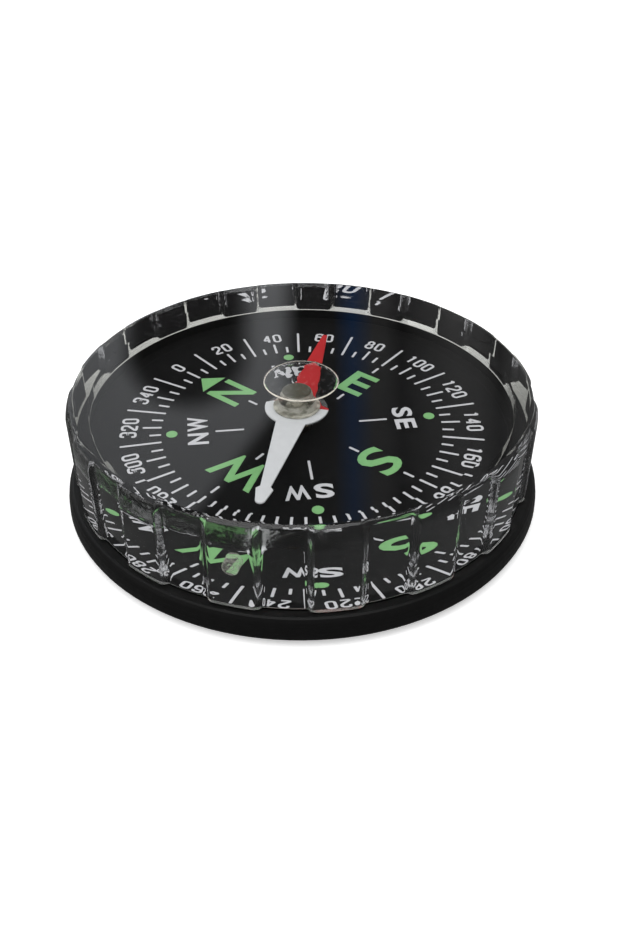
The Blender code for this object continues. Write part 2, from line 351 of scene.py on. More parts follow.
def makeCamera():
    tilt = math.radians(camera["elevation"])
    roll = math.radians(camera["roll"])
    back = Vector((0.0, -math.cos(tilt), math.sin(tilt)))
    right = Vector((1.0, 0.0, 0.0))
    up = right.cross(-back)
    turnedRight = math.cos(roll) * right + math.sin(roll) * up
    turnedUp = math.cos(roll) * up - math.sin(roll) * right
    data = bpy.data.cameras.new("camera")
    data.lens = camera["lens"]
    data.sensor_width = camera["sensor"]
    data.sensor_fit = "AUTO"
    data.shift_x = camera["shiftX"]
    data.shift_y = camera["shiftY"]
    data.clip_start = camera["nearest"]
    item = bpy.data.objects.new("camera", data)
    bpy.context.scene.collection.objects.link(item)
    turn = Matrix((turnedRight, turnedUp, back)).transposed().to_4x4()
    item.matrix_world = Matrix.Translation(back * camera["distance"]) @ turn
    bpy.context.scene.camera = item
    print("camera placed")


makeCamera()


# clear shell: window, toothed wall and the spigot that goes down into the dish

shell = {"toothRadius": 21.5 * mm, "valleyRadius": 21.05 * mm, "spigotRadius": 20.95 * mm,
         "cavityRadius": 19.5 * mm, "top": 11.3 * mm, "ceiling": 9.8 * mm, "ledge": 2.9 * mm,
         "foot": 0.65 * mm, "toothInset": 0.9 * mm, "toothDrop": 1.35 * mm, "valleyDrop": 0.45 * mm,
         "edgeSteps": 8, "fillet": 0.6 * mm, "filletSteps": 5, "teeth": 16, "firstTooth": 74.8,
         "stepsPerTooth": 32, "flankStart": 5.15, "flankEnd": 6.6, "smoothAngle": 50.0,
         "acrylic": 1.49, "acrylicInLiquid": 1.037, "roundingInLiquid": 1.004, "tint": (0.985, 0.992, 0.988),
         # band round the upper left edge: roughness, relief and a painted shade that darkens the acrylic
         "bandRise": (8.9 * mm, 9.6 * mm), "bandFall": (11.0 * mm, 11.25 * mm),
         "bandFade": (1.0 * mm, 4.0 * mm), "bandPaintedShade": (0.15, 0.155, 0.145), "bandRough": 0.2,
         "bandDepth": 0.12 * mm, "reliefGrain": 1100.0,
         "flankRough": (0.08, 0.14), "flankGrain": 1500.0, "flankDepth": 0.04 * mm,
         # ledge colours: pale at the far side and dark at the front, as painted light and shade
         "ledgePale": ((0.5, 0.5, 0.47), (0.78, 0.78, 0.74)),
         "ledgePaintedShade": ((0.1, 0.1, 0.09), (0.2, 0.2, 0.18)),
         "ledgeGrain": (2500.0, 4.0), "ledgeRough": (0.5, 0.2), "paintedLightFrom": (-2.0 * mm, 18.0 * mm),
         "mirror": (0.9, 0.9, 0.9), "mirrorRough": 0.2, "mirrorShare": 0.85,
         "glued": ((0.002, 0.002, 0.002), (0.004, 0.004, 0.004), 900.0), "gluedRough": (0.5, 0.2, 2000.0)}

tiny = 0.01 * mm                                    # how near a place counts as reached


def offTooth(place):                                # degrees from the middle of the nearest tooth
    pitch = 360.0 / shell["teeth"]
    angle = math.degrees(math.atan2(place.y, place.x)) - shell["firstTooth"]
    return abs((angle + pitch / 2) % pitch - pitch / 2)


def toothShare(place):                              # 1 on a tooth, 0 in a valley, eased on the flank
    share = (shell["flankEnd"] - offTooth(place)) / (shell["flankEnd"] - shell["flankStart"])
    share = min(max(share, 0.0), 1.0)
    return round(share * share * (3 - 2 * share), 3)


def cutValleys(piece):                              # draws the rings in between the teeth
    size = shell
    flat = size["toothRadius"] - size["toothInset"]
    rings = [(size["toothRadius"], size["ledge"], size["valleyRadius"], size["ledge"])]
    for index in range(size["edgeSteps"]):
        angle = math.pi / 2 * index / size["edgeSteps"]
        rings.append((flat + size["toothInset"] * math.cos(angle),
                      size["top"] - size["toothDrop"] * (1 - math.sin(angle)),
                      flat + (size["valleyRadius"] - flat) * math.cos(angle),
                      size["top"] - size["valleyDrop"] * (1 - math.sin(angle))))
    shares = sorted({toothShare(v.co) for v in bmesh.from_edit_mesh(piece.data).verts})
    for radius, height, valleyRadius, valleyHeight in rings:
        for share in shares[:-1]:
            factor = share + (1 - share) * valleyRadius / radius
            lift = (1 - share) * (valleyHeight - height)
            pick(piece, "verts", lambda v: abs(v.co.z - height) < tiny and abs(radiusOf(v.co) - radius) < tiny
                 and toothShare(v.co) == share)
            bpy.ops.transform.resize(value=(factor, factor, 1.0), center_override=(0.0, 0.0, 0.0))
            bpy.ops.transform.translate(value=(0.0, 0.0, lift))


def markSharp(piece, test):
    pick(piece, "edges", lambda e: all(test(v.co.z) for v in e.verts))
    bpy.ops.mesh.mark_sharp()


def shellSide(center):                              # the side of the shell that a face belongs to
    size = shell
    radius = radiusOf(center)
    if radius < size["cavityRadius"] + tiny and center.z < size["ceiling"] + tiny:
        rounded = size["ceiling"] - size["fillet"] < center.z < size["ceiling"] - tiny
        return "rounding" if rounded else "inside"  # against the liquid
    if center.z < size["ledge"] - tiny:
        return "glued"                              # in the dish
    if abs(center.z - size["ledge"]) < tiny:
        return "ledge"                              # under the teeth
    if radius > size["valleyRadius"] - size["fillet"] and 0.0 < toothShare(center) < 1.0:
        return "flank"                              # side of a tooth
    return "outside"


def makeShell():
    size = shell
    top = size["top"]
    ledge = size["ledge"]
    outer = size["toothRadius"]
    piece = newPrimitive(bpy.ops.mesh.primitive_cylinder_add, "clearShell", radius=outer, depth=top - ledge,
                         vertices=size["teeth"] * size["stepsPerTooth"],
                         location=(0.0, 0.0, (top + ledge) / 2),
                         rotation=(0.0, 0.0, math.radians(size["firstTooth"] - 90.0)))
    editMode(piece)
    pick(piece, "edges", lambda e: all(v.co.z > top - tiny for v in e.verts))
    bpy.ops.mesh.bevel(offset=size["toothInset"], segments=size["edgeSteps"], profile=0.5)
    pick(piece, "verts", lambda v: v.co.z > top - size["toothInset"] - tiny)
    bpy.ops.transform.resize(value=(1.0, 1.0, size["toothDrop"] / size["toothInset"]),
                             center_override=(0.0, 0.0, top))
    markSharp(piece, lambda z: z > top - tiny)
    pick(piece, "faces", lambda f: f.calc_center_median().z < ledge + tiny)
    extrudeTo(factor=size["spigotRadius"] / outer)
    extrudeTo(height=size["foot"] - ledge)
    extrudeTo(factor=size["cavityRadius"] / size["spigotRadius"])
    extrudeTo(height=size["ceiling"] - size["fillet"] - size["foot"])
    radius = size["cavityRadius"]
    lift = 0.0
    for index in range(size["filletSteps"]):
        angle = math.pi / 2 * (index + 1) / size["filletSteps"]
        nextRadius = size["cavityRadius"] - size["fillet"] * (1 - math.cos(angle))
        nextLift = size["fillet"] * math.sin(angle)
        extrudeTo(height=nextLift - lift, factor=nextRadius / radius)
        radius, lift = nextRadius, nextLift
    markSharp(piece, lambda z: abs(z - size["ceiling"]) < tiny)
    cutValleys(piece)
    objectMode()
    materials = shellMaterials()
    sides = list(materials)
    for face in piece.data.polygons:
        face.material_index = sides.index(shellSide(face.center))
    smoothByAngle(piece, size["smoothAngle"])
    finishPiece(piece, "case", materials.values(), "clear_capsule")
    print("clear shell made")


def bandShare(g):                                   # 1 round the upper edge of the capsule's left side, where the acrylic is rougher, bumped and darkened as painted shade
    height = g.axis(g.place(), 2)
    edge = height.smooth(*shell["bandRise"]) * (1.0 - height.smooth(*shell["bandFall"]))
    return edge * (1.0 - g.axis(g.place(), 0).smooth(*shell["bandFade"]))


def shellMaterials():                               # one for each side of the shell
    size = shell
    tint = size["tint"]
    leastRough, moreRough = size["flankRough"]
    outside = clearMaterial("acrylicOutside", size["acrylic"], tint,
                            rough=lambda g: size["bandRough"] * bandShare(g),
                            # painted shade: the clear acrylic is darkened in the band
                            shade=lambda g: g.blend(bandShare(g), tint, size["bandPaintedShade"]),
                            relief=lambda g: g.noise(size["reliefGrain"]) * bandShare(g),
                            depth=size["bandDepth"])
    inside = clearMaterial("acrylicInside", size["acrylicInLiquid"])
    glued = solidMaterial("gluedFoot", {"Specular IOR Level": 0.1}, grained(*size["glued"]),
                          size["gluedRough"])
    flank = clearMaterial("acrylicFlank", size["acrylic"], tint,
                          rough=lambda g: leastRough + moreRough * g.noise(size["flankGrain"]),
                          relief=lambda g: g.noise(size["reliefGrain"]), depth=size["flankDepth"])
    rounding = clearMaterial("acrylicRounding", size["roundingInLiquid"])
    return {"outside": outside, "inside": inside, "ledge": ledgeMaterial(), "glued": glued, "flank": flank,
            "rounding": rounding}


def ledgeMaterial():                                # satin from above, a mirror at a flat angle
    material, graph = newMaterial("acrylicLedge")
    grain = graph.noise(*shell["ledgeGrain"])
    pale = graph.blend(grain, *shell["ledgePale"])
    paintedShade = graph.blend(grain, *shell["ledgePaintedShade"])
    # painted light and shade: the ledge is paler towards the far side and darker towards the front
    far = graph.axis(graph.place(), 1).smooth(*shell["paintedLightFrom"])
    leastRough, moreRough = shell["ledgeRough"]
    satin = graph.node("ShaderNodeBsdfPrincipled", None,
                       {"Base Color": graph.blend(far, paintedShade, pale), "Specular IOR Level": 0.2,
                        "Roughness": leastRough + moreRough * grain})
    mirror = graph.node("ShaderNodeBsdfAnisotropic", None,
                        {"Color": shell["mirror"], "Roughness": shell["mirrorRough"]})
    flat = graph.node("ShaderNodeFresnel", None, {"IOR": shell["acrylic"]})
    graph.output(graph.mix(shell["mirrorShare"] * flat, satin, mirror))
    return material


makeShell()


# printed dial: bearing 0 lies left of the far side, and every figure's top points outwards

dial = {"turn": 51.161, "printTop": 0.025 * mm, "tickWidth": 0.24 * mm, "tickInner": 13.3 * mm,
        "longOuter": 17.17 * mm, "mediumOuter": 15.1 * mm, "shortOuter": 14.4 * mm,
        "figureRadius": 16.35 * mm, "figureHeight": 1.62 * mm, "figureWidth": 0.9 * mm,
        "figureGap": 0.2 * mm, "figureStroke": 0.25 * mm, "figureCorner": 0.42, "figureSteps": 5,
        "barCorner": 0.3, "letterSteps": 4, "letterBoldness": 0.02, "pairBoldness": 0.03,
        "pairRadius": 9.85 * mm, "pairHeight": 1.95 * mm, "pairGap": 0.35, "wideLetter": 1.3,
        "ray": (5.5 * mm, 8.2 * mm), "innerDash": (5.6 * mm, 6.7 * mm), "outerDash": (11.6 * mm, 12.7 * mm),
        "arrowTip": 13.1 * mm, "arrowBase": 11.3 * mm, "arrowHalf": 1.65 * mm, "arrowCorner": 0.06 * mm,
        "dotRadius": 0.53 * mm, "dotPlace": 12.3 * mm, "dotSteps": 32, "dotEdge": 0.4,
        "white": (0.69, 0.69, 0.72), "green": (0.235, 0.533, 0.208), "inkShade": 0.8,
        "inkGrain": (2500.0, 3.0), "inkRough": (0.4, 0.2, 6000.0)}

letters = {"N": (0.0, 7.05, 10.85, 3.3), "E": (90.0, 7.2, 11.05, 2.8), "S": (180.0, 6.95, 11.05, 2.95),
           "W": (270.0, 6.9, 10.7, 5.2)}            # bearing; inner and outer reach and width in mm

pairs = {"NE": (45.0, 3.9, 0.0), "SE": (135.0, 3.5, 0.0), "SW": (225.0, 4.35, 0.47),
         "NW": (315.0, 4.35, 0.3)}                  # bearing; width and shift to the right in mm

# strokes of each figure in a box one wide and one high; True closes a stroke

figures = {"0": [(True, (0, 0), (1, 0), (1, 1), (0, 1))],
           "1": [(False, (0.15, 0.78), (0.55, 1), (0.55, 0))],
           "2": [(False, (0, 0.72), (0, 1), (1, 1), (1, 0.6), (0, 0.12), (0, 0), (1, 0))],
           "3": [(False, (0, 0.75), (0, 1), (1, 1), (1, 0.54), (0.4, 0.54)),
                 (False, (0.4, 0.54), (1, 0.54), (1, 0), (0, 0), (0, 0.25))],
           "4": [(False, (0.75, 0), (0.75, 1)), (False, (0.75, 1), (0, 0.3)), (False, (0, 0.3), (1, 0.3))],
           "6": [(False, (1, 0.78), (1, 1), (0, 1), (0, 0), (1, 0), (1, 0.58), (0.1, 0.58))],
           "8": [(True, (0.08, 0.54), (0.92, 0.54), (0.92, 1), (0.08, 1)),
                 (True, (0, 0), (1, 0), (1, 0.54), (0, 0.54))]}

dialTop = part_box("dial_plate")[1].z


def dialMatrix(bearing, radius):
    azimuth = math.radians(bearing - dial["turn"])
    place = Vector((radius * math.sin(azimuth), radius * math.cos(azimuth), dialTop))
    return Matrix.Translation(place) @ Matrix.Rotation(-azimuth, 4, "Z")


def printBar(name, bearing, inner, outer):
    width = dial["tickWidth"]
    top = dial["printTop"]
    piece = newPrimitive(bpy.ops.mesh.primitive_cube_add, name, size=1.0)
    piece.data.transform(Matrix.Diagonal((width, outer - inner, top, 1.0)))
    editMode(piece)
    pick(piece, "edges", lambda e: isUpright(e, top))
    bpy.ops.mesh.bevel(offset=width * dial["barCorner"], segments=2)
    objectMode()
    placePiece(piece, dialMatrix(bearing, (inner + outer) / 2) @ Matrix.Translation((0, 0, top / 2)))
    return piece


def printText(name, body, bearing, radius, width, height, boldness, shift=0.0):
    deselectAll()
    bpy.ops.object.text_add()
    piece = bpy.context.active_object
    piece.name = name
    piece.data.body = body
    piece.data.size = 1.0
    piece.data.resolution_u = dial["letterSteps"]
    piece.data.offset = boldness
    piece.data.extrude = 0.5
    bpy.ops.object.convert(target="MESH")
    piece = bpy.context.active_object
    xs = [v.co.x for v in piece.data.vertices]
    ys = [v.co.y for v in piece.data.vertices]
    center = Vector(((min(xs) + max(xs)) / 2, (min(ys) + max(ys)) / 2, -0.5))
    fit = Matrix.Diagonal((width / (max(xs) - min(xs)), height / (max(ys) - min(ys)), dial["printTop"], 1.0))
    placePiece(piece, dialMatrix(bearing, radius) @ Matrix.Translation((shift, 0, 0)) @ fit
               @ Matrix.Translation(-center))
    mergeDoubles(piece)
    return piece


def roundedPath(points, closed, radius):            # a path whose corners are arcs
    path = []
    count = len(points)
    nearHalf = 0.48                                 # an arc takes at most this share of a side
    steps = dial["figureSteps"]
    for index, corner in enumerate(points):
        if not closed and index in (0, count - 1):
            path.append(corner)
            continue
        before = points[index - 1] - corner
        after = points[(index + 1) % count] - corner
        half = before.angle(after) / 2
        setBack = min(radius / math.tan(half), nearHalf * before.length, nearHalf * after.length)
        middle = corner + (before.normalized() + after.normalized()).normalized() * (setBack / math.cos(half))
        first = corner + before.normalized() * setBack - middle
        last = corner + after.normalized() * setBack - middle
        path += [middle + first.slerp(last, step / steps) * first.length for step in range(steps + 1)]
    return path


def printFigure(digit, matrix):
    stroke = dial["figureStroke"]
    width = dial["figureWidth"] - stroke
    height = dial["figureHeight"] - stroke
    paths = []
    for closed, *corners in figures[digit]:
        points = [Vector(((x - 0.5) * width, (y - 0.5) * height, 0.0)) for x, y in corners]
        path = roundedPath(points, closed, dial["figureCorner"] * width)
        paths.append((closed, path, [1.0] * len(path)))
    piece = roundStrokes("figure", paths, stroke / 2, 1)
    flatten = Matrix.Diagonal((1, 1, dial["printTop"] / stroke, 1))
    placePiece(piece, matrix @ Matrix.Translation((0, 0, dial["printTop"] / 2)) @ flatten)
    smoothByAngle(piece, 30.0)
    return piece


def printTicks():
    ticks = []
    for bearing in range(0, 360, 5):
        if bearing % 20 == 10:
            outer = dial["longOuter"]
        elif bearing % 10 == 0:
            outer = dial["mediumOuter"]
        else:
            outer = dial["shortOuter"]
        ticks.append(printBar("tick", bearing, dial["tickInner"], outer))
    return ticks


def printFigures():
    made = []
    pitch = dial["figureWidth"] + dial["figureGap"]
    for bearing in range(0, 360, 20):
        digits = str(bearing)
        for index, digit in enumerate(digits):
            across = Matrix.Translation(((index - (len(digits) - 1) / 2) * pitch, 0.0, 0.0))
            made.append(printFigure(digit, dialMatrix(bearing, dial["figureRadius"]) @ across))
    return made


def printPairs():                                   # letter by letter, with a ray below each pair
    made = []
    for body, (bearing, width, shift) in pairs.items():
        weights = [dial["wideLetter"] if letter == "W" else 1.0 for letter in body]
        start = shift - width / 2
        for letter, weight in zip(body, weights):
            reach = (width - dial["pairGap"]) * weight / sum(weights)
            made.append(printText("pair", letter, bearing, dial["pairRadius"], reach * mm, dial["pairHeight"],
                                  dial["pairBoldness"], (start + reach / 2) * mm))
            start += reach + dial["pairGap"]
        made.append(printBar("ray", bearing, *dial["ray"]))
    return made


def printDashes():
    dashes = []
    for bearing in (0, 90, 180, 270):
        dashes.append(printBar("dash", bearing, *dial["innerDash"]))
        if bearing:                                 # the arrow takes its place at 0
            dashes.append(printBar("dash", bearing, *dial["outerDash"]))
    return dashes


def printLetters():
    return [printText("letter", body, bearing, (inner + outer) / 2 * mm, width * mm, (outer - inner) * mm,
                      dial["letterBoldness"])
            for body, (bearing, inner, outer, width) in letters.items()]


def printDot(bearing):
    top = dial["printTop"]
    dot = newPrimitive(bpy.ops.mesh.primitive_cylinder_add, "dot", vertices=dial["dotSteps"],
                       radius=dial["dotRadius"], depth=top, location=(0, 0, top / 2))
    editMode(dot)
    pick(dot, "edges", lambda e: all(v.co.z > top * 0.9 for v in e.verts))
    bpy.ops.mesh.bevel(offset=top * dial["dotEdge"], segments=1)
    objectMode()
    placePiece(dot, dialMatrix(bearing, dial["dotPlace"]))
    return dot


def printArrow():
    top = dial["printTop"]
    arrow = newPrimitive(bpy.ops.mesh.primitive_cylinder_add, "arrow", vertices=3, radius=1.0, depth=1.0)
    tipY = max(v.co.y for v in arrow.data.vertices)
    baseY = min(v.co.y for v in arrow.data.vertices)
    halfX = max(v.co.x for v in arrow.data.vertices)
    reach = dial["arrowTip"] - dial["arrowBase"]
    arrow.data.transform(Matrix.Diagonal((dial["arrowHalf"] / halfX, reach / (tipY - baseY), top, 1.0))
                         @ Matrix.Translation((0, -baseY, 0.5)))
    editMode(arrow)
    pick(arrow, "edges", lambda e: isUpright(e, top))
    bpy.ops.mesh.bevel(offset=dial["arrowCorner"], segments=2)
    objectMode()
    placePiece(arrow, dialMatrix(0.0, dial["arrowBase"]))
    return arrow


def inkMaterial(name, color):
    shade = tuple(dial["inkShade"] * share for share in color)
    return solidMaterial(name, {"Specular IOR Level": 0.3}, grained(shade, color, *dial["inkGrain"]),
                         dial["inkRough"])


def makeDialPrint():
    white = joinPieces(printTicks() + printFigures() + printPairs() + printDashes(), "dialPrintWhite")
    greenParts = printLetters() + [printDot(bearing) for bearing in (45, 135, 225, 315)] + [printArrow()]
    green = joinPieces(greenParts, "dialPrintGreen")
    finishPiece(white, "case", [inkMaterial("whiteInk", dial["white"])])
    finishPiece(green, "case", [inkMaterial("greenInk", dial["green"])])
    print("dial printed")


makeDialPrint()


# nodes that stay as they are: name of the finish, fixed sockets, two colours and their grain,
# roughness as least, spread and grain, and at last the relief and its depth

finishes = {"base_dish": ("mouldedBlack", {"Specular IOR Level": 0.16},
                          grained((0.003, 0.003, 0.003), (0.006, 0.006, 0.006), 900.0, 4.0),
                          (0.35, 0.15, 3000.0), (8000.0, 3.0), 0.004 * mm),
            "dial_plate": ("dialBlack", {"Specular IOR Level": 0.1},
                           grained((0.002, 0.002, 0.002), (0.004, 0.004, 0.0045), 700.0, 4.0),
                           (0.5, 0.2, 3000.0)),
            "bearing_cup": ("jewel", {}, grained((0.6, 0.5, 0.38), (0.75, 0.68, 0.55), 3000.0),
                            (0.1, 0.1, 4000.0)),
            "pivot_boss": ("bossBrass", {"Metallic": 1.0},
                           grained((0.04, 0.03, 0.016), (0.08, 0.06, 0.03), 2000.0), (0.25, 0.2, 5000.0)),
            "pivot_pin": ("pinSteel", {"Metallic": 1.0},
                          grained((0.5, 0.5, 0.52), (0.65, 0.65, 0.68), 4000.0), (0.15, 0.15, 6000.0))}

hub = {"tint": (0.97, 0.97, 0.94), "milk": (0.7, 0.68, 0.6), "milkShade": (0.3, 0.29, 0.24),
       "cloudGrain": (900.0, 4.0), "cloud": (0.4, 0.6), "fleckGrain": (2600.0, 3.0), "fleck": (0.8, 0.3),
       "rough": (0.25, 0.3), "depth": 0.008 * mm,
       "crown": (0.07, 0.067, 0.045), "crownRise": (9.1 * mm, 9.2 * mm), "crownShare": 0.75,
       "bodyShare": 0.65, "windowRise": (6.7 * mm, 7.1 * mm), "windowFall": (7.9 * mm, 8.3 * mm),
       "windowCleared": 0.95}

retainer = {"tint": (0.95, 0.95, 0.95), "milk": (0.7, 0.7, 0.7), "milkShare": 0.1}

plug = {"tint": (0.98, 0.985, 0.98), "inLiquid": 1.006, "rough": 0.05, "milk": (0.4, 0.4, 0.35),
        "leastMilk": 0.02, "ringMilk": 0.35, "edgeRise": (0.72, 0.95), "innerRise": (0.28, 0.38),
        "innerFall": (0.42, 0.52)}                  # rises and falls in shares of its radius


def hubMaterial():                                  # clear with a milky share, browner on its crown
    material = clearMaterial("hubAcrylic", shell["acrylicInLiquid"], hub["tint"])
    graph, clear = openMaterial(material)
    height = graph.axis(graph.place(), 2)
    crown = height.smooth(*hub["crownRise"])
    cloud = graph.noise(*hub["cloudGrain"]).smooth(*hub["cloud"])
    fleck = graph.noise(*hub["fleckGrain"])
    body = graph.blend(cloud, hub["milkShade"], hub["milk"])
    leastRough, moreRough = hub["rough"]
    milk = graph.node("ShaderNodeBsdfPrincipled", None,
                      {"Base Color": graph.blend(crown, body, hub["crown"]),
                       "Roughness": leastRough + moreRough * fleck,
                       "Normal": graph.bump(fleck, hub["depth"])})
    window = height.smooth(*hub["windowRise"]) * (1.0 - height.smooth(*hub["windowFall"]))
    leastMilk, moreMilk = hub["fleck"]
    share = hub["bodyShare"] * (leastMilk + moreMilk * fleck) * (1.0 - hub["windowCleared"] * window)
    graph.output(graph.mix(share + hub["crownShare"] * crown, clear, milk))
    return material


def plugRings(g):                                   # frosted rings round the plug's axis
    low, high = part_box("filler_plug")
    middle = (low + high) / 2
    radius = (high.z - low.z) / 2
    outward = Vector((middle.x, middle.y, 0.0)).normalized()
    place = g.place()
    aside = outward.x * g.axis(place, 1) - outward.y * g.axis(place, 0)
    lift = g.axis(place, 2) - middle.z
    squared = aside * aside + lift * lift
    distance = squared.sum("SQRT", squared)
    edgeRise, innerRise, innerFall = [[share * radius for share in plug[key]]
                                      for key in ("edgeRise", "innerRise", "innerFall")]
    inner = distance.smooth(*innerRise) * (1.0 - distance.smooth(*innerFall))
    return plug["leastMilk"] + plug["ringMilk"] * distance.smooth(*edgeRise) + plug["ringMilk"] * inner


def dressNodes():
    for node, finish in finishes.items():
        dressNode(node, solidMaterial(*finish))
    dressNode("needle_hub", hubMaterial())
    ring = clearMaterial("retainerFrosted", shell["acrylicInLiquid"], retainer["tint"])
    addMilk(ring, retainer["milkShare"], retainer["milk"])
    dressNode("hub_retainer", ring)
    stopper = clearMaterial("plugAcrylic", plug["inLiquid"], plug["tint"], plug["rough"])
    addMilk(stopper, plugRings, plug["milk"])
    dressNode("filler_plug", stopper)
    print("nodes dressed")


dressNodes()


# needle: a full ring on its south side and a slimmer one on its north side

needle = {"pivot": -0.45 * mm, "bearing": 12.5, "ring": 3.0 * mm, "northRing": 2.3 * mm, "hole": 1.65 * mm,
          "northTip": (0.225 * mm, 13.75 * mm), "northRoot": (1.38 * mm, 2.2 * mm), "southRoot": 1.375 * mm,
          "neck": (0.45 * mm, -12.2 * mm), "shoulder": (0.75 * mm, -12.55 * mm), "tipRadius": 0.45 * mm,
          "southEnd": -14.4 * mm, "northArc": (42, 74), "ringStart": 86, "tipArc": (110, 180),
          "holeArc": (0, 345), "edge": 0.04 * mm, "arcSteps": 24, "whiteOnLeft": 0.55 * mm,
          "red": (0.56, 0.018, 0.022), "wornRed": 0.8, "white": (0.7, 0.71, 0.73), "wornWhite": 0.85,
          "wearGrain": (1500.0, 4.0), "paintRough": (0.4, 0.2, 4000.0), "paintGrain": (5000.0,),
          "paintDepth": 0.006 * mm}


def arc(radius, start, end, center=0.0):            # points of an arc, angles clockwise from north
    steps = needle["arcSteps"]
    angles = [math.radians(start + (end - start) * index / steps) for index in range(steps + 1)]
    return [(radius * math.sin(angle), center + radius * math.cos(angle), 0.0) for angle in angles]


def needleOutline():
    size = needle
    southStart = 180 - math.degrees(math.asin(size["southRoot"] / size["ring"]))
    side = [(*size["northTip"], 0.0), (*size["northRoot"], 0.0)]
    side += arc(size["northRing"], *size["northArc"]) + arc(size["ring"], size["ringStart"], southStart)
    side += [(*size["neck"], 0.0), (*size["shoulder"], 0.0)]
    side += arc(size["tipRadius"], *size["tipArc"], size["southEnd"] + size["tipRadius"])
    return side + [(-x, y, z) for x, y, z in reversed(side[:-1])]


def needleColor(g):                                 # red to the north, white to the south
    size = needle
    turn = math.radians(size["bearing"])
    place = g.place()
    right = g.axis(place, 0) - size["pivot"]
    along = right * math.sin(turn) + g.axis(place, 1) * math.cos(turn)
    across = right * math.cos(turn) - g.axis(place, 1) * math.sin(turn)
    wear = g.noise(*size["wearGrain"])
    red = g.blend(wear, [size["wornRed"] * share for share in size["red"]], size["red"])
    white = g.blend(wear, [size["wornWhite"] * share for share in size["white"]], size["white"])
    return g.blend(along > size["whiteOnLeft"] * (across < 0.0), white, red)


def makeNeedle():
    size = needle
    low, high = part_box("needle_blade")
    curve = bpy.data.curves.new("needle", "CURVE")
    curve.dimensions = "2D"
    curve.fill_mode = "BOTH"
    curve.extrude = (high.z - low.z) / 2
    addPath(curve, needleOutline())
    addPath(curve, arc(size["hole"], *size["holeArc"]))
    piece = meshOf("needle", curve)
    mergeDoubles(piece)
    addModifier(piece, "BEVEL", "edge", width=size["edge"], segments=2, limit_method="ANGLE",
                angle_limit=math.radians(60.0))
    placePiece(piece, Matrix.Translation((size["pivot"], 0.0, (low.z + high.z) / 2))
               @ Matrix.Rotation(-math.radians(size["bearing"]), 4, "Z"))
    smoothByAngle(piece, 30.0)
    paint = solidMaterial("needlePaint", {"Specular IOR Level": 0.3}, needleColor, size["paintRough"],
                          size["paintGrain"], size["paintDepth"])
    finishPiece(piece, "needle", [paint], "needle_blade")
    print("needle made")


makeNeedle()


# air bubble under the window, round the top of the hub

bubble = {"center": (-0.03 * mm, 1.28 * mm), "radius": 3.52 * mm, "top": 9.78 * mm, "bottom": 9.5 * mm,
          "spare": 0.05 * mm, "rim": 0.3 * mm, "rimSteps": 12, "steps": 128, "airInLiquid": 0.696,
          "ripple": 0.045 * mm, "rippleScale": 1400.0, "rippleDetail": 1.0, "beadRadius": 3.47 * mm,
          "beadHeights": (9.38 * mm, 9.72 * mm), "beadFront": 0.105 * mm, "beadBack": 0.016 * mm,
          "rimHighlightColor": (0.9, 0.84, 0.74), "rimHighlightShare": 0.9, "highlightInLiquid": 1.01}


def makeBead():                                     # painted highlight: a bright cream line round the bubble's edge for the light its rim reflects, thickest at its front by the hub
    size = bubble
    centerX, centerY = size["center"]
    front, back = size["beadHeights"]
    path = []
    radii = []
    for index in range(size["steps"]):
        angle = 2 * math.pi * index / size["steps"]
        share = (1 - math.sin(angle)) / 2
        path.append((centerX + size["beadRadius"] * math.cos(angle),
                     centerY + size["beadRadius"] * math.sin(angle), back + (front - back) * share))
        radii.append((size["beadBack"] + (size["beadFront"] - size["beadBack"]) * share) / size["beadFront"])
    piece = roundStrokes("bubbleRimHighlight", [(True, path, radii)], size["beadFront"], 3)
    smoothByAngle(piece, 60.0)
    # painted highlight: a milky cream share makes the line bright
    highlight = clearMaterial("paintedRimHighlight", size["highlightInLiquid"])
    addMilk(highlight, size["rimHighlightShare"], size["rimHighlightColor"])
    finishPiece(piece, "case", [highlight])


def makeBubble():
    size = bubble
    near = 0.001 * mm
    depth = size["rim"] + size["spare"]             # the bisect takes the spare height off again
    piece = newPrimitive(bpy.ops.mesh.primitive_cylinder_add, "airBubble", vertices=size["steps"],
                         radius=size["radius"], depth=depth, location=(0.0, 0.0, size["bottom"] + depth / 2))
    editMode(piece)
    pick(piece, "edges", lambda e: all(v.co.z < size["bottom"] + near for v in e.verts))
    bpy.ops.mesh.bevel(offset=size["rim"], segments=size["rimSteps"], profile=0.5)
    bpy.ops.mesh.select_all(action="SELECT")
    bpy.ops.mesh.bisect(plane_co=(0.0, 0.0, size["top"]), plane_no=(0.0, 0.0, 1.0), use_fill=True,
                        clear_outer=True, threshold=near)
    objectMode()
    placePiece(piece, Matrix.Translation((*size["center"], 0.0)))
    smoothByAngle(piece, 35.0)
    for face in piece.data.polygons:
        if face.normal.z < -0.95:
            face.material_index = 1                 # rippled bottom
    air = clearMaterial("airInLiquid", size["airInLiquid"])
    bottom = clearMaterial("rippledAir", size["airInLiquid"],
                           relief=lambda g: g.noise(size["rippleScale"], size["rippleDetail"]),
                           depth=size["ripple"], mirrored=0.0)
    finishPiece(piece, "case", [air, bottom])
    makeBead()
    print("bubble made")


makeBubble()


# floor, light and world

studio = {"floorSize": 3.0, "floor": 0.85, "floorMirrored": 0.2, "floorGlow": 0.45, "sky": 0.55,
          "elsewhere": 0.2, "horizon": 0.04}

lamps = {"topLamp": (1.6, 0.5, (-0.05, -0.1, 0.55)),
         "sideLamp": (0.35, 0.35, (-0.5, -0.2, 0.35))}    # watts, side and place in metres

# what the window mirrors: side and rise are tangents from the middle of the mirrored view

